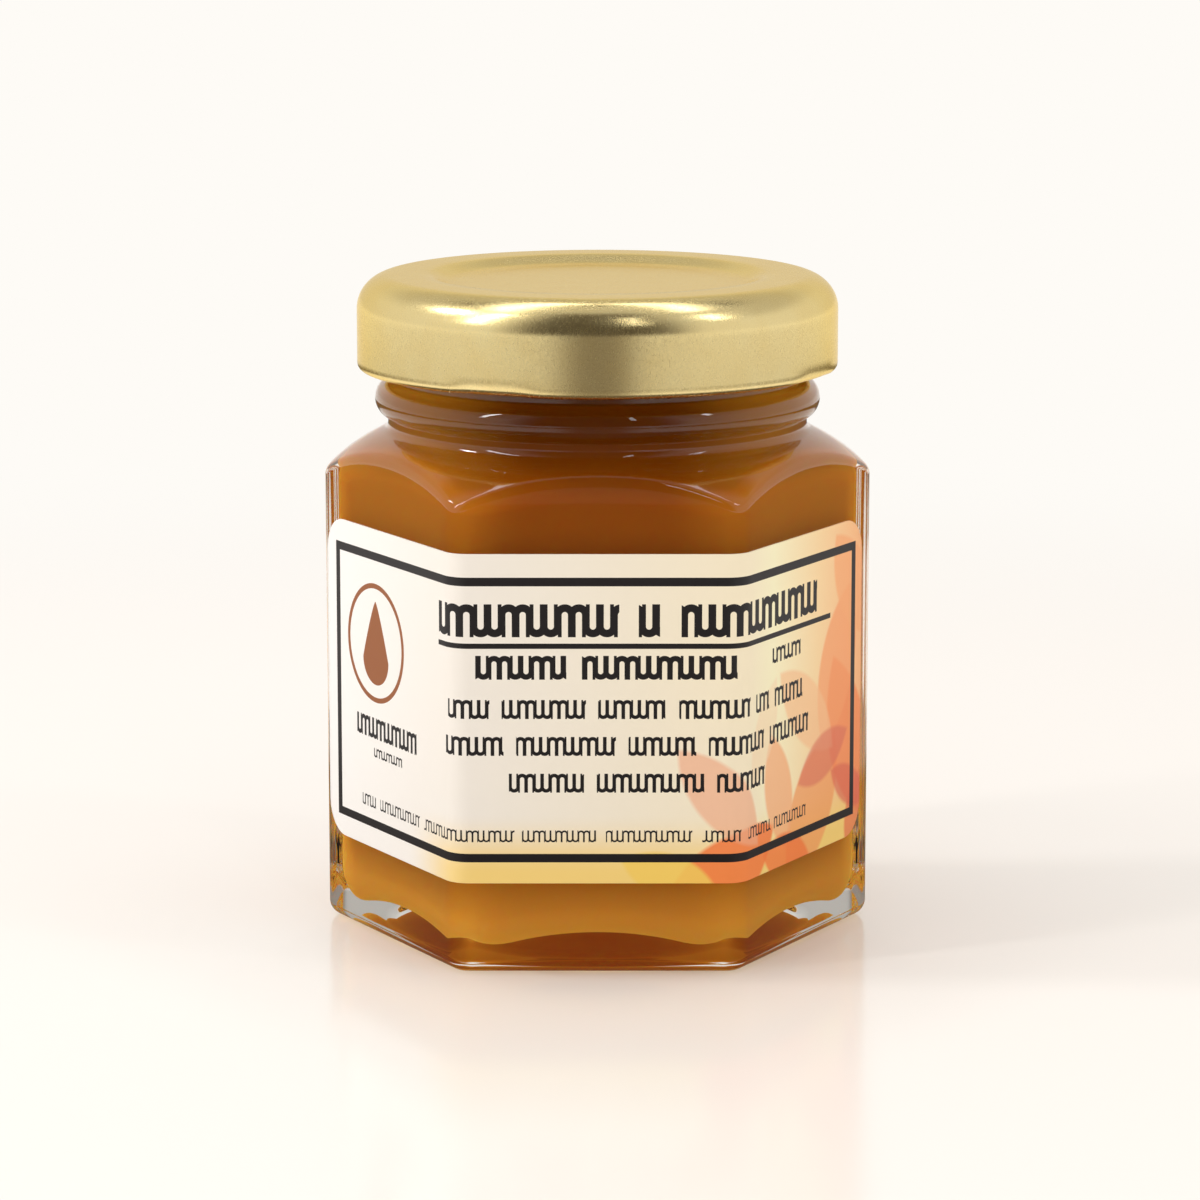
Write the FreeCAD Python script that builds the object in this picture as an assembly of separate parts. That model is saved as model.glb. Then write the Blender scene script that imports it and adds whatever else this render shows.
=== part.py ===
import FreeCAD, Part
import math
import os

# A small hexagonal glass jar of caramel, in millimetres, +Z up.
# It stands on z = 0 with its axis on the origin, a flat face towards -Y and a corner towards +X.
# Four pieces: the glass jar, the caramel that fills it, a paper label round three faces and
# a pressed steel twist-off lid.

# Glass body: a hexagonal prism with rounded vertical edges
BODY_FLATS = 41.0
EDGE_RADIUS = 2.2
HEEL_RADIUS = 1.3

# Shoulder: a convex turned arc that trims the prism, so each face ends in an arch
SHOULDER_RADIUS = 17.0
SHOULDER_CENTRE_RADIUS = 11.4
SHOULDER_CENTRE_Z = 27.26
ARCH_RADIUS = 1.3

# Neck, transfer bead and finish, all round
NECK_RADIUS = 17.9
NECK_FILLET = 0.8
BEAD_RADIUS = 19.0
BEAD_Z = 45.6
BEAD_BOTTOM_Z = 44.1
BEAD_TOP_Z = 47.2
FINISH_RADIUS = 17.5
RIM_Z = 55.8
RIM_RADIUS = 0.9

# Lug thread on the finish: short ridges that the lid's lugs turn under
LUGS = 4
THREAD_RADIUS = 18.6
THREAD_BOTTOM_Z = 49.9
THREAD_TOP_Z = 51.1
THREAD_ARC = 50.0
THREAD_TURN = 66.0

# Inside of the glass: blown, so its corners are rounder than the outside
WALL = 2.4
INNER_EDGE_RADIUS = 4.2
FLOOR_Z = 6.3
FLOOR_BALL_RADIUS = 35.0
INNER_HEEL_RADIUS = 2.6
BORE_RADIUS = 15.2
BORE_FILLET = 3.0
INNER_ARCH_RADIUS = 2.2

# Push-up: a shallow dome under the base, so the jar stands on a flat rim
PUSH_UP_RADIUS = 10.6
PUSH_UP_HEIGHT = 2.0

# Caramel: filled to just under the rim
FILL_Z = 52.6

# Label: one strip of paper, glued round the front face and both its neighbours
LABEL_LENGTH = 67.0
LABEL_SHIFT = -0.5
LABEL_BOTTOM_Z = 7.8
LABEL_TOP_Z = 35.45
LABEL_CORNER = 2.8
LABEL_PAPER = 0.12

# Lid: tinplate, with a rolled rim, four lugs and a panel sunk into its top
LID_RADIUS = 20.5
LID_BOTTOM_Z = 48.1
LID_STEEL = 0.3
LID_SHOULDER_RADIUS = 2.9
CURL_RADIUS = 0.55
PANEL_EDGE_RADIUS = 14.5
PANEL_RADIUS = 12.6
PANEL_DEPTH = 0.6
LUG_REACH = 18.0
LUG_ARC = 16.0
LUG_THICKNESS = 1.1

apothem = BODY_FLATS / 2
lid_top_z = RIM_Z + LID_STEEL
far = BODY_FLATS
axis_line = Part.LineSegment(FreeCAD.Vector(), FreeCAD.Vector(0, 0, 2 * far)).toShape()


def point(radius, z):
    """A point of a profile in the XZ plane."""
    return FreeCAD.Vector(radius, 0, z)


def polar(radius, degrees, z=0.0):
    angle = math.radians(degrees)
    return FreeCAD.Vector(radius * math.cos(angle), radius * math.sin(angle), z)


def line(start, end):
    return Part.LineSegment(start, end).toShape()


def arc(start, middle, end):
    return Part.Arc(start, middle, end).toShape()


def rounded_hexagon(apothem_size, radius, z=0.0):
    """Closed outline: six flats with normals at -90, -30, 30 ... degrees, joined by arcs."""
    edges = []
    centre_distance = (apothem_size - radius) / math.cos(math.radians(30))
    for side in range(6):
        corner = 60.0 * side
        centre = polar(centre_distance, corner, z)
        start = centre + polar(radius, corner - 30)
        middle = centre + polar(radius, corner)
        end = centre + polar(radius, corner + 30)
        next_start = polar(centre_distance, corner + 60, z) + polar(radius, corner + 30)
        edges.append(arc(start, middle, end))
        edges.append(line(end, next_start))
    return Part.Wire(edges)


def prism(apothem_size, radius, bottom, top):
    face = Part.Face(rounded_hexagon(apothem_size, radius, bottom))
    return face.extrude(FreeCAD.Vector(0, 0, top - bottom))


def turned(edges):
    """Solid of revolution about Z from a closed profile in the XZ plane."""
    face = Part.Face(Part.Wire(edges))
    return face.revolve(FreeCAD.Vector(), FreeCAD.Vector(0, 0, 1), 360)


def cut_corner(before, corner, after, radius):
    """Ends of the arc that rounds a profile corner, with the arc's middle."""
    to_before = (before - corner).normalize()
    to_after = (after - corner).normalize()
    half = to_before.getAngle(to_after) / 2
    reach = radius / math.tan(half)
    bisector = (to_before + to_after).normalize()
    middle = corner + bisector * (radius / math.sin(half) - radius)
    return corner + to_before * reach, middle, corner + to_after * reach


def rounded_profile(corners):
    """Closed profile through (radius, z, rounding) corners, with arcs where rounding is given."""
    points = [point(radius, z) for radius, z, rounding in corners]
    joints = []
    for index, (radius, z, rounding) in enumerate(corners):
        here = points[index]
        if rounding:
            after = points[(index + 1) % len(points)]
            joints.append(cut_corner(points[index - 1], here, after, rounding))
        else:
            joints.append((here,))
    edges = []
    for index, joint in enumerate(joints):
        if len(joint) == 3:
            edges.append(arc(*joint))
        next_joint = joints[(index + 1) % len(joints)]
        if joint[-1].distanceToPoint(next_joint[0]) > 1e-6:
            edges.append(line(joint[-1], next_joint[0]))
    return edges


def edges_where(shape, test):
    return [edge for edge in shape.Edges if test(edge)]


def sector(inner, outer, bottom, top, middle_angle, arc_degrees):
    """A block of a ring, between two radii and two heights, about one direction."""
    face = Part.Wire(Part.makePolygon([
        point(inner, bottom), point(outer, bottom), point(outer, top), point(inner, top),
        point(inner, bottom)]))
    block = Part.Face(face).revolve(FreeCAD.Vector(), FreeCAD.Vector(0, 0, 1), arc_degrees)
    block.rotate(FreeCAD.Vector(), FreeCAD.Vector(0, 0, 1), middle_angle - arc_degrees / 2)
    return block


def shouldered(apothem_size, edge_radius, bottom, top, shoulder, neck, fillet):
    """A prism with rounded edges, turned down above to a convex shoulder and a round neck.

    The shoulder's arc keeps its centre for the outside and the inside of the glass. The fillet
    touches it from outside, so its centre is shoulder + fillet away from the arc's centre."""
    centre = point(SHOULDER_CENTRE_RADIUS, SHOULDER_CENTRE_Z)
    lean = math.acos((neck + fillet - SHOULDER_CENTRE_RADIUS) / (shoulder + fillet))
    away = point(math.cos(lean), math.sin(lean))
    fillet_centre = centre + away * (shoulder + fillet)
    side = point(SHOULDER_CENTRE_RADIUS + shoulder, SHOULDER_CENTRE_Z)
    halfway = point(math.cos(lean / 2), math.sin(lean / 2))
    leave = centre + away * shoulder
    turn_in = (away * -1 + point(-1, 0)).normalize()
    neck_foot = fillet_centre + point(-fillet, 0)
    envelope = turned([
        line(point(0, bottom), point(side.x, bottom)),
        line(point(side.x, bottom), side),
        arc(side, centre + halfway * shoulder, leave),
        arc(leave, fillet_centre + turn_in * fillet, neck_foot),
        line(neck_foot, point(neck, top)),
        line(point(neck, top), point(0, top)),
        line(point(0, top), point(0, bottom))])
    return prism(apothem_size, edge_radius, bottom, top).common(envelope)


def round_arches(body, radius):
    """Rounds the edges where the turned shoulder cuts the flats and the upright edges."""
    arches = edges_where(body, lambda edge: edge.BoundBox.ZMin > SHOULDER_CENTRE_Z
                         and edge.distToShape(axis_line)[0] > NECK_RADIUS + 0.5
                         and edge.BoundBox.ZMax - edge.BoundBox.ZMin < 3)
    return body.makeFillet(radius, arches)


def glass_body():
    body = shouldered(apothem, EDGE_RADIUS, 0, BEAD_BOTTOM_Z, SHOULDER_RADIUS, NECK_RADIUS,
                      NECK_FILLET)
    body = round_arches(body, ARCH_RADIUS)
    heel = edges_where(body, lambda edge: edge.BoundBox.ZMax < 0.01)
    return body.makeFillet(HEEL_RADIUS, heel)


def glass_finish():
    """Bead, finish wall and rim, as one turned solid that goes on from the neck."""
    bead_foot = point(NECK_RADIUS, BEAD_BOTTOM_Z)
    bead_out = point(BEAD_RADIUS, BEAD_Z)
    bead_top = point(FINISH_RADIUS, BEAD_TOP_Z)
    lower = point(NECK_RADIUS + 0.72 * (BEAD_RADIUS - NECK_RADIUS),
                  BEAD_BOTTOM_Z + 0.45 * (BEAD_Z - BEAD_BOTTOM_Z))
    upper = point(FINISH_RADIUS + 0.75 * (BEAD_RADIUS - FINISH_RADIUS),
                  BEAD_TOP_Z - 0.28 * (BEAD_TOP_Z - BEAD_Z))
    rim_in = point(FINISH_RADIUS - 2 * RIM_RADIUS, RIM_Z)
    rim = cut_corner(bead_top, point(FINISH_RADIUS, RIM_Z), rim_in, RIM_RADIUS)
    return turned([
        line(point(0, BEAD_BOTTOM_Z), bead_foot),
        arc(bead_foot, lower, bead_out),
        arc(bead_out, upper, bead_top),
        line(bead_top, rim[0]),
        arc(*rim),
        line(rim[2], point(0, RIM_Z)),
        line(point(0, RIM_Z), point(0, BEAD_BOTTOM_Z))])


def cavity():
    """The inside: a rounder hexagon under the same shoulder, a round bore and a domed floor.

    The floor is the top of a ball, so it lies highest over the push-up and lowest in the corners."""
    room = shouldered(apothem - WALL, INNER_EDGE_RADIUS, -FLOOR_Z, RIM_Z,
                      SHOULDER_RADIUS - WALL, BORE_RADIUS, BORE_FILLET)
    ball = Part.makeSphere(FLOOR_BALL_RADIUS, point(0, FLOOR_Z - FLOOR_BALL_RADIUS), point(-1, 0))
    room = room.cut(ball)
    heel = edges_where(room, lambda edge: edge.BoundBox.ZMax < FLOOR_Z / 2)
    room = room.makeFillet(INNER_HEEL_RADIUS, heel)
    return round_arches(room, INNER_ARCH_RADIUS)


def push_up():
    """The dome under the base: the cap of a ball that meets z = 0 at PUSH_UP_RADIUS."""
    ball = (PUSH_UP_RADIUS ** 2 + PUSH_UP_HEIGHT ** 2) / (2 * PUSH_UP_HEIGHT)
    return Part.makeSphere(ball, point(0, PUSH_UP_HEIGHT - ball))


def glass_jar(room):
    jar = glass_body().fuse(glass_finish())
    for lug in range(LUGS):
        ridge = sector(FINISH_RADIUS - 0.5, THREAD_RADIUS, THREAD_BOTTOM_Z, THREAD_TOP_Z,
                       THREAD_TURN + 360 / LUGS * lug, THREAD_ARC)
        outer = edges_where(ridge, lambda edge: edge.Length > THREAD_RADIUS * 0.8
                            and edge.BoundBox.ZMax - edge.BoundBox.ZMin < 0.01
                            and edge.distToShape(Part.Vertex(point(0, edge.BoundBox.ZMax)))[0]
                            > THREAD_RADIUS - 0.01)
        jar = jar.fuse(ridge.makeFillet(0.5, outer))
    jar = jar.cut(push_up())
    return jar.cut(room).removeSplitter()


def caramel(room):
    below = Part.makeCylinder(far, FILL_Z)
    return room.common(below).removeSplitter()


def label():
    """The strip between two outlines, cut to length, with its four corners rounded."""
    height = LABEL_TOP_Z - LABEL_BOTTOM_Z
    outside = prism(apothem + LABEL_PAPER, EDGE_RADIUS + LABEL_PAPER, LABEL_BOTTOM_Z, LABEL_TOP_Z)
    ring = outside.cut(prism(apothem, EDGE_RADIUS, LABEL_BOTTOM_Z, LABEL_TOP_Z))
    bend = math.radians(60) * EDGE_RADIUS
    flat = 2 * (apothem - EDGE_RADIUS) * math.tan(math.radians(30))
    for side in (-1, 1):
        past_middle = LABEL_LENGTH / 2 + side * LABEL_SHIFT - flat - bend
        past_end = Part.makeBox(far, far, height)
        past_end.translate(FreeCAD.Vector(past_middle, -far / 2 - apothem, LABEL_BOTTOM_Z))
        if side < 0:
            past_end = past_end.mirror(FreeCAD.Vector(), FreeCAD.Vector(1, 0, 0))
        past_end.rotate(FreeCAD.Vector(), FreeCAD.Vector(0, 0, 1), 60 * side)
        ring = ring.cut(past_end)
    back = Part.makeBox(2 * far, far, height, FreeCAD.Vector(-far, 0, LABEL_BOTTOM_Z))
    strip = ring.cut(back)
    corners = edges_where(strip, lambda edge: edge.Length < LABEL_PAPER * 1.5)
    return strip.makeFillet(LABEL_CORNER, corners)


def lid():
    """Pressed shell with a rolled rim; each lug is the rim pushed in under a thread ridge."""
    inner_radius = LID_RADIUS - LID_STEEL
    panel_z = lid_top_z - PANEL_DEPTH
    shell = turned(rounded_profile([
        (0, panel_z, 0),
        (PANEL_RADIUS, panel_z, 1.0),
        (PANEL_EDGE_RADIUS, lid_top_z, 1.0),
        (LID_RADIUS, lid_top_z, LID_SHOULDER_RADIUS),
        (LID_RADIUS, LID_BOTTOM_Z + CURL_RADIUS, 0),
        (inner_radius, LID_BOTTOM_Z + CURL_RADIUS, 0),
        (inner_radius, RIM_Z, LID_SHOULDER_RADIUS - LID_STEEL),
        (PANEL_EDGE_RADIUS, RIM_Z, 1.0),
        (PANEL_RADIUS, panel_z - LID_STEEL, 1.0),
        (0, panel_z - LID_STEEL, 0)]))
    curl = Part.makeTorus(LID_RADIUS - CURL_RADIUS, CURL_RADIUS, point(0, LID_BOTTOM_Z + CURL_RADIUS))
    cap = shell.fuse(curl)
    for lug in range(LUGS):
        tongue = sector(LUG_REACH, LID_RADIUS - CURL_RADIUS, LID_BOTTOM_Z,
                        LID_BOTTOM_Z + LUG_THICKNESS, THREAD_TURN + 360 / LUGS * lug, LUG_ARC)
        cap = cap.fuse(tongue)
    return cap.removeSplitter()


room = cavity()
pieces = {
    "glass_jar": glass_jar(room),
    "caramel": caramel(room),
    "label": label(),
    "lid": lid(),
}

os.makedirs("parts", exist_ok=True)
for name, shape in pieces.items():
    solid = shape.Solids[0]
    print(name, "solids", len(shape.Solids), "valid", solid.isValid(), "mm3", round(solid.Volume, 1))
    solid.exportStep("parts/" + name + ".step")
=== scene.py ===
import math

import bpy
import numpy as np
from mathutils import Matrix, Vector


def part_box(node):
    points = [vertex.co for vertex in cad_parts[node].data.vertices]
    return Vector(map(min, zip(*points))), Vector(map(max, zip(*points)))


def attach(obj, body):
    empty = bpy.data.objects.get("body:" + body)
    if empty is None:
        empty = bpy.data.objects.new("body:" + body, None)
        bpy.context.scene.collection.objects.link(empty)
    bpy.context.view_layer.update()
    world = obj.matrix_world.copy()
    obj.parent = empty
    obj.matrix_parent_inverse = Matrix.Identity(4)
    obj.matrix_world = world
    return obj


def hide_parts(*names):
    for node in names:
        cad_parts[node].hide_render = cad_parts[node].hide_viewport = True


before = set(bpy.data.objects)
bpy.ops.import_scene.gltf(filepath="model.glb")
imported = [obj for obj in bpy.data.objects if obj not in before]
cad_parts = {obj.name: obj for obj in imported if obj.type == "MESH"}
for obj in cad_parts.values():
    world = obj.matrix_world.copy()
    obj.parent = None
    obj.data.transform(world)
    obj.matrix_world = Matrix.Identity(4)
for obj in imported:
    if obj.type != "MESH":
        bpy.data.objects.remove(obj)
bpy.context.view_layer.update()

# The glass jar: one piece of clear soda-lime glass, pressed and blown in a mould. Below it is
# a hexagon with rounded edges. Its shoulder is turned, so it cuts each flat off in an arch, and
# above that the neck, the bead and the rim are round. The base is pushed up in the middle.
MM = 0.001
TURNS = 60                                   # columns of mesh in each sixth of the way round
jar_low, jar_high = [np.array(corner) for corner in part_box("glass_jar")]
fill_low, fill_high = [np.array(corner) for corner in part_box("caramel")]
FLAT = (jar_high[1] - jar_low[1]) / 2        # from the axis to a flat, outside
EDGE = 2.2 * MM                              # rounding of the upright edges
HEEL = 1.3 * MM
SHOULDER = 17.0 * MM                         # the shoulder is an arc, turned about the axis
SHOULDER_AT = (11.4 * MM, 27.26 * MM)        # where that arc has its centre
ARCH = 1.3 * MM                              # rounding between shoulder and flats
NECK = 17.9 * MM
NECK_FILLET = 0.8 * MM
FINISH = 17.5 * MM
RIM = 0.9 * MM
INNER_FLAT = (fill_high[1] - fill_low[1]) / 2
WALL = FLAT - INNER_FLAT
INNER_EDGE = 4.2 * MM
INNER_HEEL = 2.6 * MM
FLOOR_TOP = 6.3 * MM                         # the floor inside is the top of a ball
FLOOR_BALL = 35.0 * MM
INNER_ARCH = 1.5 * MM                        # tight enough that the shoulder inside never folds
BORE = 15.2 * MM
BORE_FILLET = 3.0 * MM
PUSH_UP = 10.6 * MM
PUSH_UP_HEIGHT = 2.0 * MM
BEAD = 19.0 * MM
BEAD_BOTTOM_Z = 44.1 * MM
BEAD_Z = 45.6 * MM
BEAD_TOP_Z = 47.2 * MM


def columns():
    """Angles round the axis, crowded towards the six upright edges, where the outline bends."""
    across = np.arange(TURNS) / TURNS * 2 - 1
    crowded = 0.35 * across + 0.65 * np.sin(across * np.pi / 2)
    sixths = np.arange(6)[:, None] * np.pi / 3
    return (sixths + np.pi / 6 + crowded * np.pi / 6).ravel()


def hexagon(turn, flat, edge):
    """Distance from the axis to a hexagon whose flats are `flat` away and whose edges are arcs.

    Off an upright edge by b, the flat is at flat / cos(30 - b), and the arc, whose centre is at
    c = (flat - edge) / cos 30, is at c cos b + sqrt(edge^2 - (c sin b)^2)."""
    off = np.abs((turn + np.pi / 6) % (np.pi / 3) - np.pi / 6)
    centre = (flat - edge) / np.cos(np.pi / 6)
    meet = np.arctan2(edge * 0.5, centre + edge * np.cos(np.pi / 6))
    arc = centre * np.cos(off) + np.sqrt(np.maximum(edge ** 2 - (centre * np.sin(off)) ** 2, 0))
    return np.where(off < meet, arc, flat / np.cos(np.pi / 6 - off))


def steps(count, first=0.0, last=1.0):
    return np.linspace(first, last, count)[:, None]


def arc_rows(centre, radius, start, end, count):
    """Rows along an arc of a profile; centre and angles may differ from column to column."""
    angle = start + (end - start) * steps(count)
    return centre[0] + radius * np.cos(angle), centre[1] + radius * np.sin(angle)


def line_rows(start, end, count):
    share = steps(count)
    return start[0] + (end[0] - start[0]) * share, start[1] + (end[1] - start[1]) * share


def heel_rows(turn, flat, edge, radius, floor, count):
    """Rounding between a floor and the upright flats: the outline steps out as it rises."""
    angle = steps(count, 0, np.pi / 2)
    inset = radius * (1 - np.sin(angle))
    return hexagon(turn, flat - inset, edge - inset), floor + radius * (1 - np.cos(angle))


def shoulder_rows(wall, shoulder, arch, neck, fillet, count):
    """From the upright flat over the arch, up the shoulder's arc and into the round neck.

    The arch's circle touches the flat and the shoulder's circle from inside, and the fillet's
    circle touches the shoulder's circle from outside and the neck."""
    middle_r, middle_z = SHOULDER_AT
    arch_r = wall - arch
    arch_z = middle_z + np.sqrt((shoulder - arch) ** 2 - (arch_r - middle_r) ** 2)
    meet = np.arctan2(arch_z - middle_z, arch_r - middle_r)
    neck_r = neck + fillet
    neck_z = middle_z + math.sqrt((shoulder + fillet) ** 2 - (neck_r - middle_r) ** 2)
    leave = math.atan2(neck_z - middle_z, neck_r - middle_r)
    return [
        arc_rows((arch_r, arch_z), arch, 0.0, meet, count),
        arc_rows((middle_r, middle_z), shoulder, meet, leave, count),
        arc_rows((neck_r, neck_z), fillet, leave + np.pi, np.pi, count)]


def grid(parts, turn):
    """Stacks pieces of a profile into arrays of radius and height, one row below the next."""
    radius = np.concatenate([np.broadcast_to(r, (len(r), len(turn))) for r, z in parts])
    height = np.concatenate([np.broadcast_to(z, (len(z), len(turn))) for r, z in parts])
    same = np.all(np.hypot(np.diff(radius, axis=0), np.diff(height, axis=0)) < 1e-7, axis=1)
    keep = np.concatenate([[True], ~same])
    return radius[keep], height[keep]


def turned_mesh(name, radius, height, turn):
    """A closed skin round the axis: each row is a ring, the first and last are single points."""
    rows, around = radius.shape
    ring = np.stack([radius * np.cos(turn), radius * np.sin(turn), height], axis=-1)[1:-1]
    points = np.concatenate([ring.reshape(-1, 3),
                             [[0, 0, height[0].mean()], [0, 0, height[-1].mean()]]])
    index = np.arange((rows - 2) * around).reshape(rows - 2, around)
    beside = np.roll(index, -1, axis=1)
    quads = np.stack([index[:-1], beside[:-1], beside[1:], index[1:]], axis=-1).reshape(-1, 4)
    first = np.full(around, len(points) - 2)
    last = np.full(around, len(points) - 1)
    low = np.stack([first, beside[0], index[0]], axis=-1)
    high = np.stack([last, index[-1], beside[-1]], axis=-1)
    return add_mesh(name, points, quads, np.concatenate([low, high]))


def add_mesh(name, points, quads, triangles=()):
    """A smooth mesh object from arrays of points, four-cornered and three-cornered faces."""
    mesh = bpy.data.meshes.new(name)
    mesh.from_pydata(points.tolist(), [], [face.tolist() for face in quads]
                     + [face.tolist() for face in triangles])
    mesh.polygons.foreach_set("use_smooth", np.ones(len(mesh.polygons), bool))
    piece = bpy.data.objects.new(name, mesh)
    bpy.context.scene.collection.objects.link(piece)
    return piece


def inside(turn, reach):
    """The inside of the glass from the floor up to the bore, let into the wall by `reach`.

    The heel's circle touches the flat from inside and the floor's ball from outside, so it lies
    lower in the corners, which are farther out."""
    flat = INNER_FLAT + reach
    edge = INNER_EDGE + reach
    ball = FLOOR_BALL - reach
    ball_z = FLOOR_TOP - FLOOR_BALL
    wall = hexagon(turn, flat, edge)
    heel_r = wall - INNER_HEEL
    heel_z = ball_z + np.sqrt((ball + INNER_HEEL) ** 2 - heel_r ** 2)
    lean = np.arctan2(heel_r, heel_z - ball_z)
    floor_lean = lean * steps(24)
    up = shoulder_rows(wall, SHOULDER - WALL + reach, INNER_ARCH, BORE + reach, BORE_FILLET, 14)
    return [
        (ball * np.sin(floor_lean), ball_z + ball * np.cos(floor_lean)),
        arc_rows((heel_r, heel_z), INNER_HEEL, -np.pi / 2 - lean, 0.0, 14),
        line_rows((wall, heel_z), (wall, up[0][1][0]), 8),
        *up]


def reverse(parts):
    return [(r[::-1], z[::-1]) for r, z in reversed(parts)]


turn = columns()
rim_z = jar_high[2]
outer_wall = hexagon(turn, FLAT, EDGE)
outer_shoulder = shoulder_rows(outer_wall, SHOULDER, ARCH, NECK, NECK_FILLET, 14)
outer_heel = heel_rows(turn, FLAT, EDGE, HEEL, 0.0, 10)
ball = (PUSH_UP ** 2 + PUSH_UP_HEIGHT ** 2) / (2 * PUSH_UP_HEIGHT)
dome_r = steps(16) * PUSH_UP
dome = (dome_r, np.sqrt(ball ** 2 - dome_r ** 2) + PUSH_UP_HEIGHT - ball)
bead_share = steps(12)
bead = [
    line_rows((NECK, outer_shoulder[-1][1][-1]), (NECK, BEAD_BOTTOM_Z), 8),
    (NECK + (BEAD - NECK) * np.sin(bead_share * np.pi / 2) ** 0.8,
     BEAD_BOTTOM_Z + (BEAD_Z - BEAD_BOTTOM_Z) * bead_share ** 1.3),
    (FINISH + (BEAD - FINISH) * np.cos(bead_share * np.pi / 2),
     BEAD_Z + (BEAD_TOP_Z - BEAD_Z) * np.sin(bead_share * np.pi / 2))]
jar_parts = [
    dome,
    line_rows((PUSH_UP, 0.0), (outer_heel[0][0], 0.0), 6),
    outer_heel,
    line_rows((outer_wall, HEEL), (outer_wall, outer_shoulder[0][1][0]), 8),
    *outer_shoulder,
    *bead,
    line_rows((FINISH, BEAD_TOP_Z), (FINISH, BEAD_TOP_Z + 0.2 * MM), 2),
    line_rows((FINISH, BEAD_TOP_Z + 0.2 * MM), (FINISH, rim_z - RIM), 3),
    arc_rows((FINISH - RIM, rim_z - RIM), RIM, 0.0, np.pi / 2, 8),
    line_rows((FINISH - RIM, rim_z), (BORE, rim_z), 3),
    *reverse(inside(turn, 0.0))]
jar = turned_mesh("glass_jar_body", *grid(jar_parts, turn), turn)


def linear(colour):
    """A colour written as sRGB hex, such as "c8a050", as the linear values that shaders take."""
    values = np.array([int(colour[i:i + 2], 16) for i in (0, 2, 4)]) / 255
    return (*np.where(values <= 0.04045, values / 12.92, ((values + 0.055) / 1.055) ** 2.4), 1.0)


SMOOTH = {"interpolation_type": "SMOOTHSTEP"}


def add_node(tree, kind, settings=None, stops=(), **inputs):
    """Adds a node with its own settings, and sets or links its inputs.

    An input is named as in Blender, with _ for a space, or by its number as in i0, i1. A node
    given as a value stands for its first output. `stops` are the (position, hex colour) pairs of
    a colour ramp."""
    node = tree.nodes.new(kind)
    for name, value in (settings or {}).items():
        setattr(node, name, value)
    while stops and len(node.color_ramp.elements) < len(stops):
        node.color_ramp.elements.new(0.5)
    for number, (position, colour) in enumerate(stops):
        node.color_ramp.elements[number].position = position
    for number, (position, colour) in enumerate(stops):
        node.color_ramp.elements[number].color = linear(colour)
    for name, value in inputs.items():
        if isinstance(value, bpy.types.Node):
            value = value.outputs[0]
        numbered = name[0] == "i" and name[1:].isdigit()
        socket = node.inputs[int(name[1:]) if numbered else name.replace("_", " ")]
        if isinstance(value, bpy.types.NodeSocket):
            tree.links.new(value, socket)
        else:
            socket.default_value = value
    return node


def new_material(name):
    material = bpy.data.materials.new(name)
    material.use_nodes = True
    material.node_tree.nodes.clear()
    return material, material.node_tree


# Soda-lime flint glass: very clear, faintly grey-green through its thick edges.
clear_glass, tree = new_material("clear_soda_lime_glass")
glass = add_node(tree, "ShaderNodeBsdfPrincipled", Base_Color=linear("fbfcf8"), Roughness=0.0,
                 IOR=1.52, Transmission_Weight=1.0)
lamp_light = add_node(tree, "ShaderNodeBsdfTransparent", Color=linear("f4f5ee"))
rays = add_node(tree, "ShaderNodeLightPath")
to_caramel = add_node(tree, "ShaderNodeMixShader", i0=rays.outputs["Is Diffuse Ray"],
                      i1=glass.outputs[0], i2=lamp_light.outputs[0])
either = add_node(tree, "ShaderNodeMixShader", i0=rays.outputs["Is Shadow Ray"],
                  i1=to_caramel.outputs[0], i2=lamp_light.outputs[0])
add_node(tree, "ShaderNodeOutputMaterial", Surface=either.outputs[0])
jar.data.materials.append(clear_glass)
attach(jar, "root")
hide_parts("glass_jar")

# The caramel: thick and cloudy, poured in hot, so it fills the glass to every corner up to just
# under the rim.
REACH = 0.06 * MM
level = fill_high[2]
inner = inside(turn, REACH)
top_of_neck = inner[-1][1][-1]
caramel_parts = [
    *inner,
    line_rows((BORE + REACH, top_of_neck), (BORE + REACH, level), 4),
    line_rows((BORE + REACH, level), (0.0, level), 6)]
caramel = turned_mesh("caramel_filling", *grid(caramel_parts, turn), turn)
amber, tree = new_material("caramel_cloudy_amber")
place = add_node(tree, "ShaderNodeTexCoord")
apart = add_node(tree, "ShaderNodeSeparateXYZ", Vector=place.outputs["Object"])
# Painted light and shade by height: the caramel is coloured lighter at the foot, where light comes
# up through the base, and darker towards the neck, where the lid's shade falls.
up_jar = add_node(tree, "ShaderNodeMapRange", Value=apart.outputs["Z"], From_Max=50 * MM)
painted_shade_by_height = add_node(tree, "ShaderNodeValToRGB",
                      stops=[(0.05, "e2a040"), (0.15, "cf8424"), (0.4, "bc701a"), (0.7, "aa5c0c"),
                             (0.78, "9c5008"), (0.86, "7c3c04"), (0.92, "602c02")],
                      Fac=up_jar.outputs[0])
# Painted light: towards the sides, left and right of the middle, the caramel is coloured golden for
# the light that comes through it from the sides.
painted_side_light_reach = add_node(tree, "ShaderNodeMath", {"operation": "ABSOLUTE"}, i0=apart.outputs["X"])
tone = add_node(tree, "ShaderNodeMix", {"data_type": "RGBA"},
                i0=add_node(tree, "ShaderNodeMapRange", SMOOTH, Value=painted_side_light_reach, From_Min=5 * MM,
                            From_Max=14 * MM, To_Max=0.32), i6=painted_shade_by_height,
                i7=linear("e8a030")).outputs[2]
body = add_node(tree, "ShaderNodeBsdfPrincipled", Base_Color=tone, Roughness=0.5,
                IOR=1.49, Specular_IOR_Level=0.0, Subsurface_Weight=1.0,
                Subsurface_Radius=(1.0, 0.42, 0.10), Subsurface_Scale=2.5 * MM)
add_node(tree, "ShaderNodeOutputMaterial", Surface=body.outputs[0])
caramel.data.materials.append(amber)
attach(caramel, "root")
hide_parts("caramel")

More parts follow.
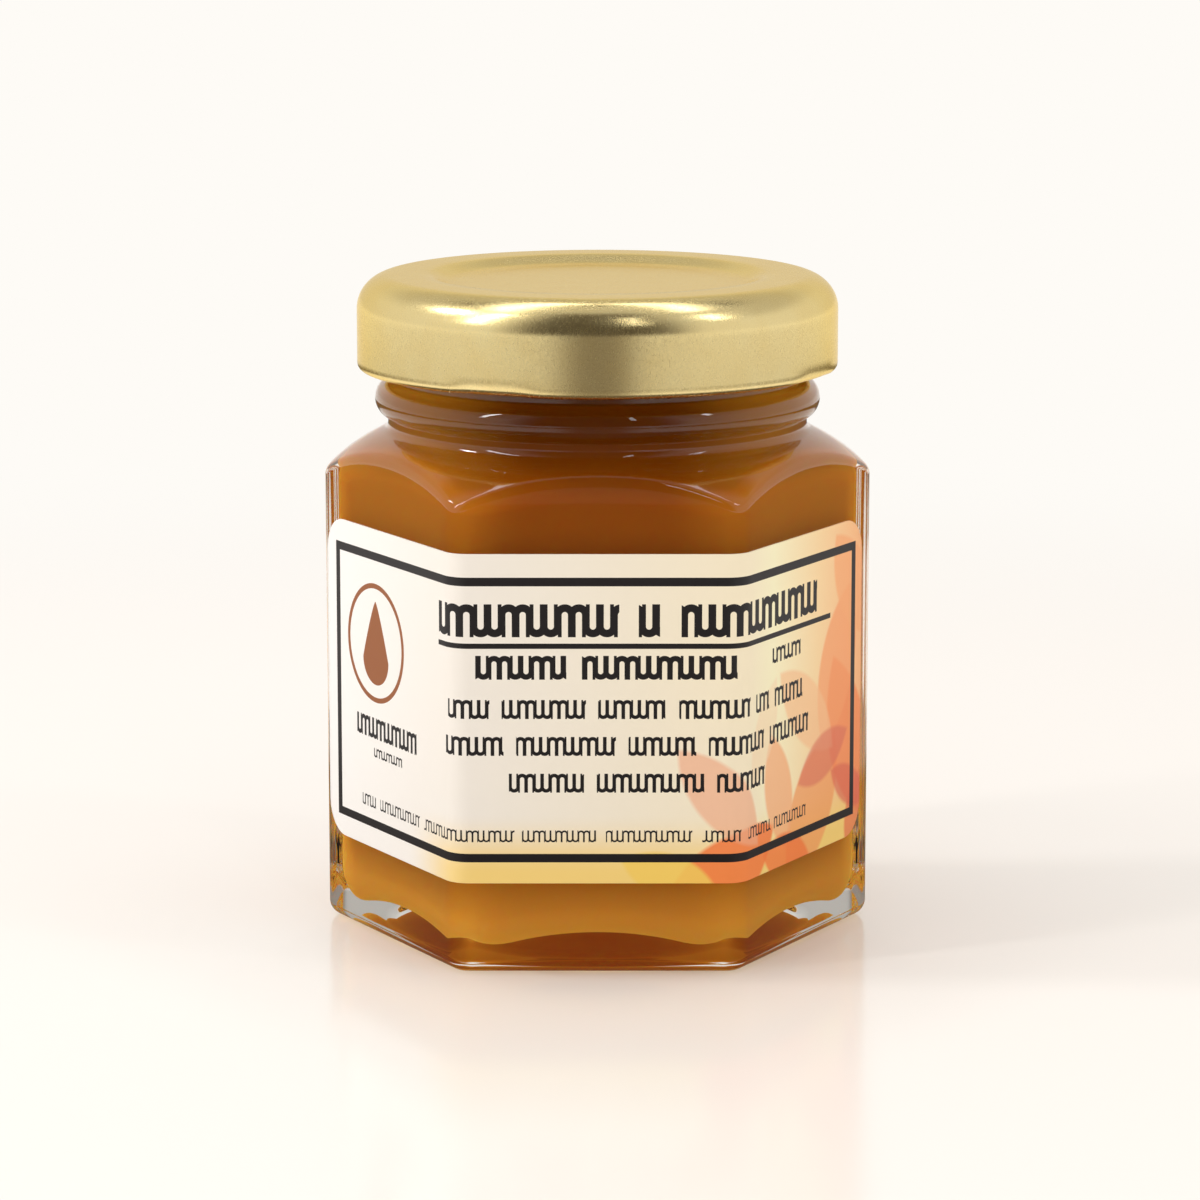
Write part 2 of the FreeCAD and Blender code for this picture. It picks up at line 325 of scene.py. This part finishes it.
# The lid: a twist-off cap pressed from tinplate and lacquered gold. Its rim is rolled under,
# pushed in at four lugs, and its top has a panel sunk inside a flat ring.
lid_low, lid_high = [np.array(corner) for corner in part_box("lid")]
LID = (lid_high[0] - lid_low[0]) / 2
STEEL = 0.3 * MM
LID_SHOULDER = 2.9 * MM
CURL = 0.55 * MM
PANEL_EDGE = 14.5 * MM
PANEL = 12.6 * MM
PANEL_DEPTH = 0.6 * MM
STEP_ROUNDING = 0.45                         # of its slope, the share that is an S
LUG_ANGLE = math.radians(65)
LUG_WIDTH = math.radians(13)
LUG_PUSH = 0.15 * MM
LUG_LIFT = 0.06 * MM
LUG_HEIGHT = 1.3 * MM


def step_rows(outer, inner, high, low, rounding, count):
    """A slope from a ring at `high` down to a panel at `low`, rounded at both ends.

    At the share t of the way it has fallen by (1 - rounding) t + rounding (3 t^2 - 2 t^3)."""
    share = steps(count)
    bend = share * share * (3 - 2 * share)
    fall = (1 - rounding) * share + rounding * bend
    return outer + (inner - outer) * share, high + (low - high) * fall


seat = lid_high[2] - STEEL
skin = LID - STEEL
curl_at = (LID - CURL, lid_low[2] + CURL)
curl_start = math.acos((skin - curl_at[0]) / CURL)
panel_z = lid_high[2] - PANEL_DEPTH
under = step_rows(PANEL_EDGE, PANEL, seat, panel_z - STEEL, STEP_ROUNDING, 12)
lid_turn = np.arange(360) * np.pi / 180
lid_parts = [
    line_rows((0.0, panel_z - STEEL), (PANEL, panel_z - STEEL), 4),
    *reverse([under]),
    line_rows((PANEL_EDGE, seat), (LID - LID_SHOULDER, seat), 3),
    arc_rows((LID - LID_SHOULDER, seat - LID_SHOULDER + STEEL), LID_SHOULDER - STEEL,
             np.pi / 2, 0.0, 12),
    line_rows((skin, seat - LID_SHOULDER + STEEL), (skin, curl_at[1] + CURL), 8),
    arc_rows(curl_at, CURL, curl_start, 2 * np.pi, 16),
    line_rows((LID, curl_at[1]), (LID, lid_high[2] - LID_SHOULDER), 14),
    arc_rows((LID - LID_SHOULDER, lid_high[2] - LID_SHOULDER), LID_SHOULDER, 0.0, np.pi / 2, 24),
    line_rows((LID - LID_SHOULDER, lid_high[2]), (PANEL_EDGE, lid_high[2]), 4),
    step_rows(PANEL_EDGE, PANEL, lid_high[2], panel_z, STEP_ROUNDING, 14),
    line_rows((PANEL, panel_z), (0.0, panel_z), 8)]
lid_r, lid_z = grid(lid_parts, lid_turn)
off_lug = np.abs((lid_turn - LUG_ANGLE + np.pi / 4) % (np.pi / 2) - np.pi / 4)
pushed = np.clip(1.5 - off_lug / LUG_WIDTH * 1.5, 0, 1)
pushed = pushed ** 2 * (3 - 2 * pushed)
low_down = np.clip(1 - (lid_z - lid_low[2]) / LUG_HEIGHT, 0, 1) ** 1.6 * (lid_r > PANEL_EDGE)
lid_r = lid_r - LUG_PUSH * pushed * low_down
lid_z = lid_z + LUG_LIFT * pushed * low_down
lid = turned_mesh("lid_cap", lid_r, lid_z, lid_turn)

# Gold-lacquered tinplate, satin: a clear yellow metal with a fine drawn grain up the skirt.
gold, tree = new_material("gold_lacquered_tinplate_satin")
place = add_node(tree, "ShaderNodeTexCoord")
stretched = add_node(tree, "ShaderNodeMapping", Vector=place.outputs["Object"],
                     Scale=(1.0, 1.0, 0.45))
grain = add_node(tree, "ShaderNodeTexNoise", Vector=stretched.outputs[0], Scale=1 / (0.16 * MM),
                 Detail=3.0, Roughness=0.6)
mottle = add_node(tree, "ShaderNodeTexNoise", Vector=place.outputs["Object"],
                  Scale=1 / (2.5 * MM), Detail=2.0)
tone = add_node(tree, "ShaderNodeMix", {"data_type": "RGBA"}, i0=mottle.outputs["Fac"],
                i6=linear("f3da96"), i7=linear("f8e6aa"))
rough = add_node(tree, "ShaderNodeMapRange", Value=grain.outputs["Fac"], From_Min=0.3,
                 From_Max=0.7, To_Min=0.20, To_Max=0.29)
relief = add_node(tree, "ShaderNodeBump", Height=grain.outputs["Fac"], Strength=0.10,
                  Distance=0.02 * MM)
metal = add_node(tree, "ShaderNodeBsdfPrincipled", Base_Color=tone.outputs[2], Metallic=1.0,
                 Roughness=rough.outputs[0], Normal=relief.outputs[0], Coat_Weight=0.25,
                 Coat_Roughness=0.15, Specular_Tint=linear("f6e4ae"))
add_node(tree, "ShaderNodeOutputMaterial", Surface=metal.outputs[0])
lid.data.materials.append(gold)
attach(lid, "root")
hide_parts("lid")

# The label: one strip of coated paper with rounded corners, glued round the front flat and both
# its neighbours.
label_low, label_high = [np.array(corner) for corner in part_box("label")]
PAPER = 0.12 * MM
LEFT_END = -34.0 * MM                       # along the glass from the middle of the front flat
RIGHT_END = 33.0 * MM
LABEL_CORNER = 2.8 * MM
LABEL_COLUMNS = 240
LABEL_ROWS = 40


def along(distance, out):
    """Points in plan on the jar's outline, `distance` along it from the middle of the front.

    Each side is a flat of length f and an arc of the edge's radius, so the side's number is
    distance / (f + arc), rounded, and the rest of the distance is on its flat or its arcs."""
    flat = 2 * (FLAT - EDGE) * math.tan(math.radians(30))
    side = np.round(distance / (flat + EDGE * np.pi / 3))
    rest = distance - side * (flat + EDGE * np.pi / 3)
    straight = np.clip(rest, -flat / 2, flat / 2)
    bend = (rest - straight) / EDGE
    facing = side * np.pi / 3 - np.pi / 2
    tangent = facing + np.pi / 2
    x = (FLAT - EDGE) * np.cos(facing) + straight * np.cos(tangent) \
        + (EDGE + out) * np.cos(facing + bend)
    y = (FLAT - EDGE) * np.sin(facing) + straight * np.sin(tangent) \
        + (EDGE + out) * np.sin(facing + bend)
    return x, y


height = label_high[2] - label_low[2]
up = (1 - np.cos(np.linspace(0, np.pi, LABEL_ROWS))) / 2 * height
# The corners' arcs end just short of the straight edges, so that no two columns meet there.
corner_rise = np.clip(np.abs(up - height / 2) - (height / 2 - LABEL_CORNER), 0,
                      0.9999 * LABEL_CORNER)
trim = LABEL_CORNER - np.sqrt(LABEL_CORNER ** 2 - corner_rise ** 2)
share = np.linspace(0, 1, LABEL_COLUMNS)
even = LEFT_END + (RIGHT_END - LEFT_END) * share
tuck = np.clip((even - RIGHT_END + LABEL_CORNER) / LABEL_CORNER, 0, 1) \
    - np.clip((LEFT_END + LABEL_CORNER - even) / LABEL_CORNER, 0, 1)
spread = even[None, :] - trim[:, None] * tuck[None, :]
rise = np.broadcast_to(up[:, None], spread.shape)
sheets = []
for out in (PAPER, 0.0):
    x, y = along(spread, out)
    sheets.append(np.stack([x, y, rise + label_low[2]], axis=-1).reshape(-1, 3))
index = np.arange(LABEL_ROWS * LABEL_COLUMNS).reshape(LABEL_ROWS, LABEL_COLUMNS)
front = np.stack([index[:-1, :-1], index[:-1, 1:], index[1:, 1:], index[1:, :-1]],
                 axis=-1).reshape(-1, 4)
rim = np.concatenate([index[0, :-1], index[:-1, -1], index[-1, :0:-1], index[:0:-1, 0]])
after = np.roll(rim, -1)
sides = np.stack([rim + index.size, after + index.size, after, rim], axis=-1)
back = front[:, ::-1] + index.size
label = add_mesh("paper_label", np.concatenate(sheets), np.concatenate([front, back, sides]))
printed = label.data.attributes.new("print_place", "FLOAT_VECTOR", "POINT")
flat_place = np.stack([spread / MM, rise / MM, np.zeros_like(spread)], axis=-1).reshape(-1, 3)
printed.data.foreach_set("vector", np.concatenate([flat_place, flat_place]).ravel())

# Coated paper, printed: a black frame, mock lettering where a label's words would be, a ring with
# a drop of syrup, and leaves in oranges that fade to cream. All of it is set in millimetres.
paper, tree = new_material("printed_coated_paper")
place = add_node(tree, "ShaderNodeAttribute", {"attribute_name": "print_place"}).outputs["Vector"]
apart = add_node(tree, "ShaderNodeSeparateXYZ", Vector=place)
across = add_node(tree, "ShaderNodeMapRange", Value=apart.outputs["X"], From_Min=LEFT_END / MM,
                  From_Max=RIGHT_END / MM).outputs[0]
ground = add_node(tree, "ShaderNodeValToRGB",
                  stops=[(0.0, "fdfaf7"), (0.32, "f6efe6"), (0.55, "f7ecd6"), (0.7, "faeccc"),
                         (0.76, "fdf5cc"), (0.88, "fddba6"), (1.0, "fcb980")], Fac=across)
low_warmth = add_node(tree, "ShaderNodeMath", {"operation": "MULTIPLY"},
                      i0=add_node(tree, "ShaderNodeMapRange", SMOOTH, Value=apart.outputs["Y"],
                                  From_Min=6.0, From_Max=0.8, To_Max=0.95),
                      i1=add_node(tree, "ShaderNodeMapRange", SMOOTH, Value=apart.outputs["X"],
                                  From_Min=-20.0, From_Max=-10.0))
ground = add_node(tree, "ShaderNodeMix", {"data_type": "RGBA"}, i0=low_warmth, i6=ground,
                  i7=linear("fbd676")).outputs[2]

LEAVES = [  # middle across and up, turn in degrees, length, width, colour, strength
    (24.0, 4.0, -35, 15.0, 7.5, "f9a25c", 0.80), (30.5, 9.0, 20, 16.0, 7.0, "f98c50", 0.85),
    (11.5, 1.2, -65, 13.0, 6.0, "fb8038", 0.92), (18.0, 6.5, 15, 11.0, 5.0, "fbb27c", 0.80),
    (28.5, 15.5, -20, 15.0, 6.5, "fba066", 0.75), (31.5, 22.0, 35, 12.0, 6.0, "fcae74", 0.80),
    (23.0, 12.5, 50, 13.0, 5.5, "fcc490", 0.70), (6.0, 0.5, 70, 9.0, 4.2, "fbd25c", 0.85),
    (32.5, 1.5, -10, 9.0, 5.0, "f08050", 0.85), (19.5, 0.6, 78, 9.0, 4.5, "fb7c34", 0.85),
    (10.5, 7.0, 42, 12.0, 5.0, "f6b088", 0.70), (26.0, 8.0, -70, 10.0, 4.2, "e2705a", 0.65),
    (15.5, 12.0, -25, 10.0, 3.8, "fbdcb4", 0.60), (30.8, 4.6, 60, 8.0, 3.6, "e56a50", 0.75)]
paint = ground
for middle_u, middle_v, angle, length, width, colour, strength in LEAVES:
    bow = (length ** 2 + width ** 2) / (4 * width)
    local = add_node(tree, "ShaderNodeMapping", {"vector_type": "TEXTURE"}, Vector=place,
                     Location=(middle_u, middle_v, 0), Rotation=(0, 0, math.radians(angle)))
    folded = add_node(tree, "ShaderNodeVectorMath", {"operation": "ABSOLUTE"},
                      i0=local.outputs[0])
    shifted = add_node(tree, "ShaderNodeVectorMath", {"operation": "ADD"}, i0=folded.outputs[0],
                       i1=(bow - width / 2, 0, 0))
    far_out = add_node(tree, "ShaderNodeVectorMath", {"operation": "LENGTH"},
                       i0=shifted.outputs[0])
    inside_leaf = add_node(tree, "ShaderNodeMapRange", Value=far_out.outputs["Value"],
                           From_Min=bow, From_Max=bow - 0.35, To_Max=strength)
    paint = add_node(tree, "ShaderNodeMix", {"data_type": "RGBA"}, i0=inside_leaf.outputs[0],
                     i6=paint, i7=linear(colour)).outputs[2]


def pattern_row(foot, head, start, pitch, stroke, words):
    """One line of mock lettering: words of round waves, which read as no letters at all.

    A wave has a stem every half pitch, joined at the head and at the foot by turns in half rings,
    so a word of n stems is n - 1 half pitches long. `words` gives the stems of each word. A gap
    leaves out one stem. The result is 1 on ink and 0 off it."""
    across = add_node(tree, "ShaderNodeMath", {"operation": "SUBTRACT"}, i0=apart.outputs["X"],
                      i1=start)
    bow = pitch / 4
    beside = add_node(tree, "ShaderNodeMath", {"operation": "SUBTRACT"}, i0=bow,
                      i1=add_node(tree, "ShaderNodeMath", {"operation": "PINGPONG"}, i0=across,
                                  i1=bow))
    upper = add_node(tree, "ShaderNodeMath", {"operation": "GREATER_THAN"},
                     i0=add_node(tree, "ShaderNodeMath", {"operation": "PINGPONG"}, i0=across,
                                 i1=pitch), i1=pitch / 2)
    over = add_node(tree, "ShaderNodeMath", {"operation": "SUBTRACT"}, i0=apart.outputs["Y"],
                    i1=head - stroke / 2 - bow)
    under = add_node(tree, "ShaderNodeMath", {"operation": "SUBTRACT"}, i0=foot + stroke / 2 + bow,
                     i1=apart.outputs["Y"])
    beyond = add_node(tree, "ShaderNodeMix", i0=upper, i2=under, i3=over).outputs[0]
    beyond = add_node(tree, "ShaderNodeMath", {"operation": "MAXIMUM"}, i0=beyond, i1=0.0)
    beside_squared = add_node(tree, "ShaderNodeMath", {"operation": "MULTIPLY"}, i0=beside,
                              i1=beside)
    beyond_squared = add_node(tree, "ShaderNodeMath", {"operation": "MULTIPLY"}, i0=beyond,
                              i1=beyond)
    from_middle = add_node(tree, "ShaderNodeMath", {"operation": "SQRT"},
                           i0=add_node(tree, "ShaderNodeMath", {"operation": "ADD"},
                                       i0=beside_squared, i1=beyond_squared))
    inked = add_node(tree, "ShaderNodeMath", {"operation": "COMPARE"}, i0=from_middle, i1=bow,
                     i2=stroke / 2)
    in_row = add_node(tree, "ShaderNodeMath", {"operation": "COMPARE"}, i0=apart.outputs["Y"],
                      i1=(foot + head) / 2, i2=(head - foot) / 2)
    lead = 1.0
    total = lead + (sum(words) + len(words) - 1) * pitch / 2 + stroke
    along_row = add_node(tree, "ShaderNodeMapRange", Value=across, From_Min=-stroke / 2 - lead,
                         From_Max=total - lead - stroke / 2).outputs[0]
    stops = [(0.0, "000000")]
    reached = lead
    for stems in words:
        stops += [(reached / total, "ffffff"),
                  (min((reached + (stems - 1) * pitch / 2 + stroke) / total, 1.0), "000000")]
        reached += (stems + 1) * pitch / 2
    in_word = add_node(tree, "ShaderNodeValToRGB", stops=stops, Fac=along_row)
    in_word.color_ramp.interpolation = "CONSTANT"
    return add_node(tree, "ShaderNodeMath", {"operation": "MULTIPLY"},
                    i0=add_node(tree, "ShaderNodeMath", {"operation": "MULTIPLY"}, i0=inked,
                                i1=in_row), i1=in_word)


MOCK_ROWS = [  # foot, head, start, pitch, stroke, stems in each word
    (20.75, 23.5, -13.6, 2.30, 0.64, [14, 2, 16]),
    (17.2, 19.2, -9.8, 1.75, 0.46, [9, 15]),
    (17.6, 18.9, 16.9, 1.35, 0.28, [8]),
    (13.9, 15.5, -12.4, 1.32, 0.30, [6, 11, 9, 10, 4, 8]),
    (10.8, 12.4, -12.6, 1.32, 0.30, [8, 13, 9, 10, 11]),
    (7.7, 9.3, -7.2, 1.32, 0.30, [10, 14, 9]),
    (3.5, 4.5, -27.8, 0.92, 0.15, [6, 16, 22, 14, 16, 8, 9, 13]),
    (9.6, 11.4, -28.6, 1.40, 0.36, [16]),
    (8.0, 8.8, -25.6, 0.90, 0.16, [12])]
ink = None
for row in MOCK_ROWS:
    marks = pattern_row(*row)
    ink = marks if ink is None else add_node(tree, "ShaderNodeMath", {"operation": "MAXIMUM"},
                                             i0=ink, i1=marks).outputs[0]


def box_edge(middle, half):
    """Distance outside a box on the label, in millimetres; inside the box it is below 0."""
    moved = add_node(tree, "ShaderNodeVectorMath", {"operation": "SUBTRACT"}, i0=place,
                     i1=(*middle, 0))
    folded = add_node(tree, "ShaderNodeVectorMath", {"operation": "ABSOLUTE"},
                      i0=moved.outputs[0])
    past = add_node(tree, "ShaderNodeVectorMath", {"operation": "SUBTRACT"}, i0=folded.outputs[0],
                    i1=(*half, 0))
    sides = add_node(tree, "ShaderNodeSeparateXYZ", Vector=past.outputs[0])
    return add_node(tree, "ShaderNodeMath", {"operation": "MAXIMUM"}, i0=sides.outputs["X"],
                    i1=sides.outputs["Y"]).outputs[0]


underline = box_edge((6.65, 20.0), (20.55, 0.22))
from_frame = add_node(tree, "ShaderNodeMath", {"operation": "ABSOLUTE"},
                      i0=box_edge((-0.3, 13.75), (31.75, 11.6)))
frame_line = add_node(tree, "ShaderNodeMath", {"operation": "SUBTRACT"}, i0=from_frame.outputs[0],
                      i1=0.36)
lines = add_node(tree, "ShaderNodeMath", {"operation": "MINIMUM"}, i0=underline,
                 i1=frame_line.outputs[0])
lines = add_node(tree, "ShaderNodeMath", {"operation": "LESS_THAN"}, i0=lines.outputs[0], i1=0.0)
black = add_node(tree, "ShaderNodeMath", {"operation": "MAXIMUM"}, i0=ink, i1=lines.outputs[0])

# The emblem: a drop of syrup in a ring. The drop is a ball below and comes to a point above.
EMBLEM = (-25.2, 17.9)
at_emblem = add_node(tree, "ShaderNodeVectorMath", {"operation": "SUBTRACT"}, i0=place,
                     i1=(*EMBLEM, 0))
emblem_r = add_node(tree, "ShaderNodeVectorMath", {"operation": "LENGTH"}, i0=at_emblem.outputs[0])
ring = add_node(tree, "ShaderNodeMath", {"operation": "COMPARE"}, i0=emblem_r.outputs["Value"],
                i1=4.9, i2=0.22)
emblem_sides = add_node(tree, "ShaderNodeSeparateXYZ", Vector=at_emblem.outputs[0])
taper = add_node(tree, "ShaderNodeMapRange", Value=emblem_sides.outputs["Y"], From_Min=-1.4,
                 From_Max=3.6, To_Min=1.0, To_Max=0.0)
taper = add_node(tree, "ShaderNodeMath", {"operation": "POWER"}, i0=taper.outputs[0], i1=0.8)
depth = add_node(tree, "ShaderNodeMapRange", Value=emblem_sides.outputs["Y"], From_Min=-3.6,
                 From_Max=-1.4, To_Min=1.0, To_Max=0.0)
depth = add_node(tree, "ShaderNodeMath", {"operation": "POWER"}, i0=depth.outputs[0], i1=2.0)
round_end = add_node(tree, "ShaderNodeMath", {"operation": "SUBTRACT"}, i0=1.0,
                     i1=depth.outputs[0])
round_end = add_node(tree, "ShaderNodeMath", {"operation": "SQRT"}, i0=round_end.outputs[0])
drop_width = add_node(tree, "ShaderNodeMath", {"operation": "MULTIPLY"}, i0=taper.outputs[0],
                      i1=round_end.outputs[0])
drop_width = add_node(tree, "ShaderNodeMath", {"operation": "MULTIPLY"}, i0=drop_width.outputs[0],
                      i1=2.3)
beside = add_node(tree, "ShaderNodeMath", {"operation": "ABSOLUTE"}, i0=emblem_sides.outputs["X"])
in_drop = add_node(tree, "ShaderNodeMath", {"operation": "LESS_THAN"}, i0=beside.outputs[0],
                   i1=drop_width.outputs[0])
brown = add_node(tree, "ShaderNodeMath", {"operation": "MAXIMUM"}, i0=ring.outputs[0],
                 i1=in_drop.outputs[0])
paint = add_node(tree, "ShaderNodeMix", {"data_type": "RGBA"}, i0=brown.outputs[0], i6=paint,
                 i7=linear("9c5a2c")).outputs[2]
picture = add_node(tree, "ShaderNodeMix", {"data_type": "RGBA"}, i0=black.outputs[0], i6=paint,
                   i7=linear("1d1719"))
fibres = add_node(tree, "ShaderNodeTexNoise", Vector=place, Scale=6.0, Detail=4.0)
paper_relief = add_node(tree, "ShaderNodeBump", Height=fibres.outputs["Fac"], Strength=0.08,
                        Distance=0.01 * MM)
sheet = add_node(tree, "ShaderNodeBsdfPrincipled", Base_Color=picture.outputs[2], Roughness=0.5,
                 IOR=1.5, Normal=paper_relief.outputs[0])
add_node(tree, "ShaderNodeOutputMaterial", Surface=sheet.outputs[0])
label.data.materials.append(paper)
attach(label, "root")
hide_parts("label")

# The floor and backdrop: a warm white acrylic sweep, a hair under the foot, that goes over to an
# even white away from the jar. A faint glow under the foot stands for the light that comes down
# through the filling. What mirrors the floor finds dark flags on it: a disc round the foot, a ring
# farther out, and a sector in front.
FLOOR_GAP = 0.04 * MM
floor_points = np.array([[-3, -2, -FLOOR_GAP], [3, -2, -FLOOR_GAP], [3, 4, -FLOOR_GAP],
                         [-3, 4, -FLOOR_GAP]])
floor = add_mesh("floor", floor_points, np.array([[0, 1, 2, 3]]))
sweep, tree = new_material("white_acrylic_sweep")
place = add_node(tree, "ShaderNodeTexCoord").outputs["Object"]
away = add_node(tree, "ShaderNodeVectorMath", {"operation": "LENGTH"}, i0=place).outputs["Value"]
rays = add_node(tree, "ShaderNodeLightPath")
under_foot = add_node(tree, "ShaderNodeMapRange", SMOOTH, Value=away, From_Min=20.5 * MM,
                      From_Max=18 * MM, To_Max=0.28)
to_rim = add_node(tree, "ShaderNodeMapRange", SMOOTH, Value=away, From_Min=6 * MM,
                  From_Max=17 * MM)
glow = add_node(tree, "ShaderNodeMix", {"data_type": "RGBA"}, i0=to_rim, i6=linear("a85a1c"),
                i7=linear("ecd070"))
near = add_node(tree, "ShaderNodeBsdfPrincipled", Base_Color=linear("f4efe9"), Roughness=0.16,
                IOR=1.49, Emission_Strength=under_foot, Emission_Color=glow.outputs[2])
far = add_node(tree, "ShaderNodeMapRange", SMOOTH, Value=away, From_Min=110 * MM,
               From_Max=250 * MM)
white = add_node(tree, "ShaderNodeEmission", Color=linear("fefbf6"), Strength=1.0)
lit = add_node(tree, "ShaderNodeMixShader", i0=far, i1=near, i2=white)
inner_flag = add_node(tree, "ShaderNodeMapRange", SMOOTH, Value=away, From_Min=85 * MM,
                      From_Max=70 * MM)
past_start = add_node(tree, "ShaderNodeMapRange", SMOOTH, Value=away, From_Min=190 * MM,
                      From_Max=210 * MM)
before_end = add_node(tree, "ShaderNodeMapRange", SMOOTH, Value=away, From_Min=335 * MM,
                      From_Max=310 * MM)
outer_flag = add_node(tree, "ShaderNodeMath", {"operation": "MULTIPLY"}, i0=past_start,
                      i1=before_end)
spot = add_node(tree, "ShaderNodeSeparateXYZ", Vector=place)
aside = add_node(tree, "ShaderNodeMath", {"operation": "ABSOLUTE"}, i0=spot.outputs["X"])
ahead = add_node(tree, "ShaderNodeMath", {"operation": "MULTIPLY"}, i0=spot.outputs["Y"], i1=-1.0)
ahead = add_node(tree, "ShaderNodeMath", {"operation": "MAXIMUM"}, i0=ahead, i1=0.01)
off_axis = add_node(tree, "ShaderNodeMath", {"operation": "DIVIDE"}, i0=aside, i1=ahead)
front_flag = add_node(tree, "ShaderNodeMapRange", SMOOTH, Value=off_axis, From_Min=0.48,
                      From_Max=0.12, To_Max=0.85)
flags = add_node(tree, "ShaderNodeMath", {"operation": "MAXIMUM"}, i0=inner_flag, i1=outer_flag)
flags = add_node(tree, "ShaderNodeMath", {"operation": "MAXIMUM"}, i0=flags, i1=front_flag)
flagged = add_node(tree, "ShaderNodeMath", {"operation": "MULTIPLY"},
                   i0=rays.outputs["Is Glossy Ray"], i1=flags)
dark = add_node(tree, "ShaderNodeEmission", Color=linear("6a6055"), Strength=1.0)
both = add_node(tree, "ShaderNodeMixShader", i0=flagged, i1=lit, i2=dark)
add_node(tree, "ShaderNodeOutputMaterial", Surface=both)
floor.data.materials.append(sweep)

# The studio is pale all round. What mirrors it also finds it a little dimmer above, and two dark
# gaps: in front, where the camera stands, and high at the back, behind the softboxes. What is seen
# through the glass has dark wings at both sides. Past the floor the camera itself sees white.
world = bpy.data.worlds.new("studio")
world.use_nodes = True
tree = world.node_tree
tree.nodes.clear()
direction = add_node(tree, "ShaderNodeTexCoord")
ways = add_node(tree, "ShaderNodeSeparateXYZ", Vector=direction.outputs["Generated"])
rays = add_node(tree, "ShaderNodeLightPath")
x_size = add_node(tree, "ShaderNodeMath", {"operation": "ABSOLUTE"}, i0=ways.outputs["X"])
ahead = add_node(tree, "ShaderNodeMath", {"operation": "MULTIPLY"}, i0=ways.outputs["Y"], i1=-1.0)
ahead = add_node(tree, "ShaderNodeMath", {"operation": "MAXIMUM"}, i0=ahead, i1=0.01)
sideways = add_node(tree, "ShaderNodeMath", {"operation": "DIVIDE"}, i0=x_size, i1=ahead)
shares = {}
for name, way, start, full, strength in [
        ("front, across", sideways, 1.3, 0.5, 1.0),
        ("front, towards", ways.outputs["Y"], 0.0, -0.10, 1.0),
        ("front, below the top", ways.outputs["Z"], 0.99, 0.94, 1.0),
        ("back, towards", ways.outputs["Y"], 0.1, 0.3, 1.0),
        ("back, above", ways.outputs["Z"], 0.72, 0.84, 1.0),
        ("back, below the top", ways.outputs["Z"], 0.985, 0.95, 1.0),
        ("upper", ways.outputs["Z"], 0.36, 0.60, 0.35),
        ("wings, across", x_size, 0.45, 0.8, 0.7),
        ("wings, below", ways.outputs["Z"], 0.6, 0.3, 1.0)]:
    shares[name] = add_node(tree, "ShaderNodeMapRange", SMOOTH, Value=way, From_Min=start,
                            From_Max=full, To_Max=strength)
for name, operation, first, second in [
        ("front", "MULTIPLY", "front, across", "front, towards"),
        ("front", "MULTIPLY", "front", "front, below the top"),
        ("back", "MULTIPLY", "back, towards", "back, above"),
        ("back", "MULTIPLY", "back", "back, below the top"),
        ("wings", "MULTIPLY", "wings, across", "wings, below"),
        ("gaps", "MAXIMUM", "front", "back"),
        ("gaps", "MAXIMUM", "gaps", "upper")]:
    shares[name] = add_node(tree, "ShaderNodeMath", {"operation": operation}, i0=shares[first],
                            i1=shares[second])
for_glossy = add_node(tree, "ShaderNodeMath", {"operation": "MULTIPLY"}, i0=shares["gaps"],
                      i1=rays.outputs["Is Glossy Ray"])
for_glass = add_node(tree, "ShaderNodeMath", {"operation": "MULTIPLY"}, i0=shares["wings"],
                     i1=rays.outputs["Is Transmission Ray"])
dark_share = add_node(tree, "ShaderNodeMath", {"operation": "MAXIMUM"}, i0=for_glossy,
                      i1=for_glass)
room = add_node(tree, "ShaderNodeMix", {"data_type": "RGBA"}, i0=dark_share,
                i6=(0.80, 0.78, 0.757, 1), i7=(0.07, 0.06, 0.05, 1))
seen = add_node(tree, "ShaderNodeMix", {"data_type": "RGBA"}, i0=rays.outputs["Is Camera Ray"],
                i6=room.outputs[2], i7=linear("fefbf6"))
background = add_node(tree, "ShaderNodeBackground", Color=seen.outputs[2], Strength=1.0)
add_node(tree, "ShaderNodeOutputWorld", Surface=background)
bpy.context.scene.world = world


def softbox(name, azimuth, elevation, distance, width, height, power):
    """A rectangular lamp aimed at the jar, from an azimuth off the front and an elevation."""
    lamp = bpy.data.lights.new(name, "AREA")
    lamp.shape = "RECTANGLE"
    lamp.size, lamp.size_y = width, height
    lamp.energy = power
    holder = bpy.data.objects.new(name, lamp)
    side, rise = math.radians(azimuth), math.radians(elevation)
    holder.location = (distance * math.cos(rise) * math.sin(side),
                       -distance * math.cos(rise) * math.cos(side),
                       distance * math.sin(rise) + 0.03)
    holder.rotation_euler = (math.pi / 2 - rise, 0, side)
    bpy.context.scene.collection.objects.link(holder)


# A small key from the left throws the shadow to the right. Two wide boxes overhead give the lid its
# bright bands, and three narrow strips in front give the neck and the shoulder their streaks.
softbox("left_key", -92, 44, 0.9, 0.10, 0.10, 1.35)
softbox("over_left_softbox", -125, 70, 0.6, 0.46, 0.07, 0.47)
softbox("over_right_softbox", 125, 70, 0.6, 0.46, 0.07, 0.40)
softbox("front_left_softbox", -63, 40, 0.6, 0.035, 0.36, 0.52)
softbox("front_right_softbox", 66, 42, 0.6, 0.035, 0.16, 0.175)
softbox("front_slit", 20, 45, 0.7, 0.03, 0.30, 0.15)

# The camera stands a little above the lid and looks down at the jar's middle, with a long lens.
camera = bpy.data.objects.new("camera", bpy.data.cameras.new("camera"))
camera.location = (0, -0.400, 0.103)
camera.rotation_euler = (math.radians(90 - 10.65), 0, 0)
camera.data.lens = 141.6
camera.data.sensor_width = 36
camera.data.shift_x = 0.0021
bpy.context.scene.collection.objects.link(camera)
bpy.context.scene.camera = camera
bpy.context.scene.view_settings.view_transform = "Standard"
